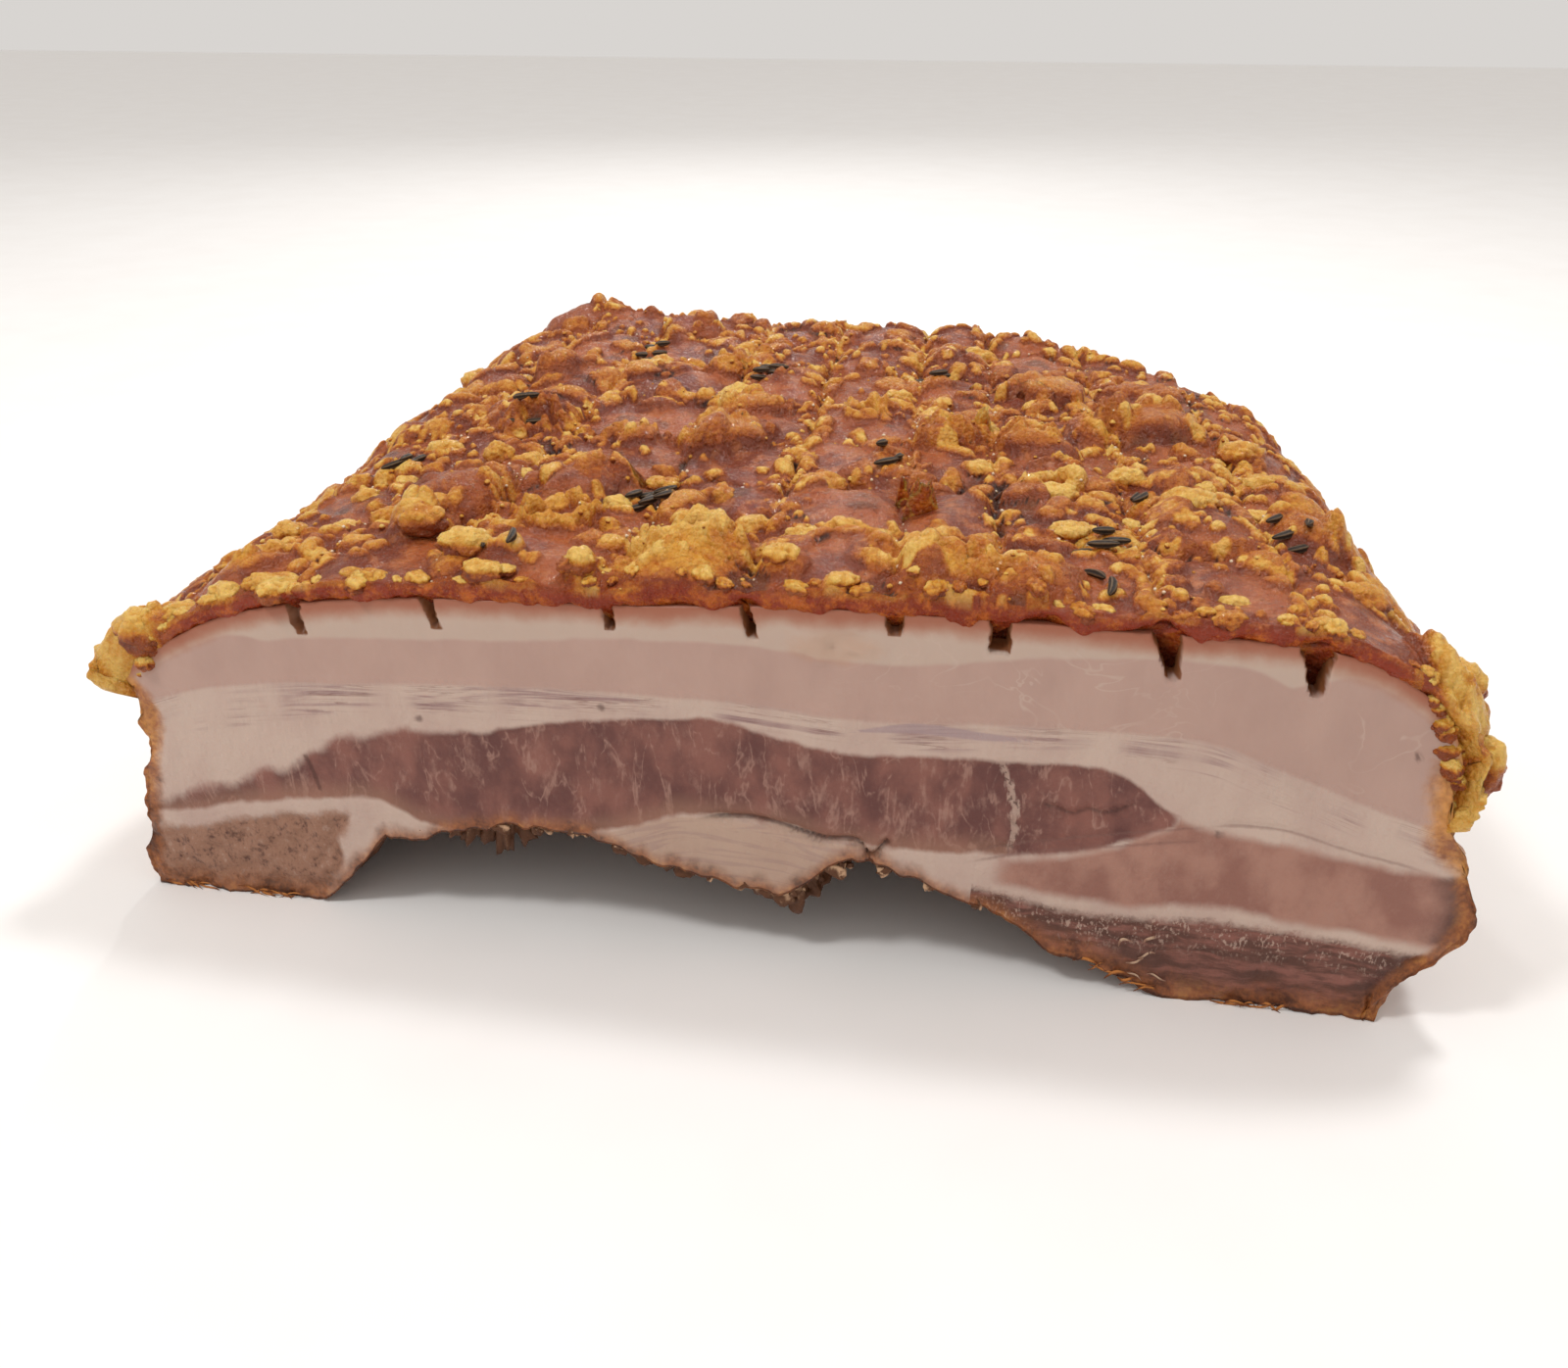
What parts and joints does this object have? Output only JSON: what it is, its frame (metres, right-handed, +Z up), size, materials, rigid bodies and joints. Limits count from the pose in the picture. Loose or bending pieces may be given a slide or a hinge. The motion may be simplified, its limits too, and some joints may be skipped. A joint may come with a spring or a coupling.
{
  "type": "roast pork joint",
  "caption": "Roast pork belly joint with scored, blistered crackling and caraway seeds, cut clean across to show its layers of fat and lean.",
  "frame": {"origin": "on the surface that the joint stands on, under the middle of its box", "axes": "+X along the cut face to the right as seen from the front, +Y from the cut face to the back, +Z up through the crackling"},
  "size_m": [0.2414, 0.2044, 0.0815],
  "materials": {
    "crackling": "crisp, greasy roast rind over white fat",
    "fat": "moist cooked fat",
    "lean": "moist cooked lean meat",
    "rib_lean": "coarse browned lean meat"
  },
  "bodies": {
    "root": {"fat_cap": "crackling", "fat_seam": "fat", "belly_lean": "lean", "flank_lean": "lean", "rib_fat": "fat", "foot_left": "rib_lean", "foot_right": "rib_lean"}
  },
  "joints": []
}
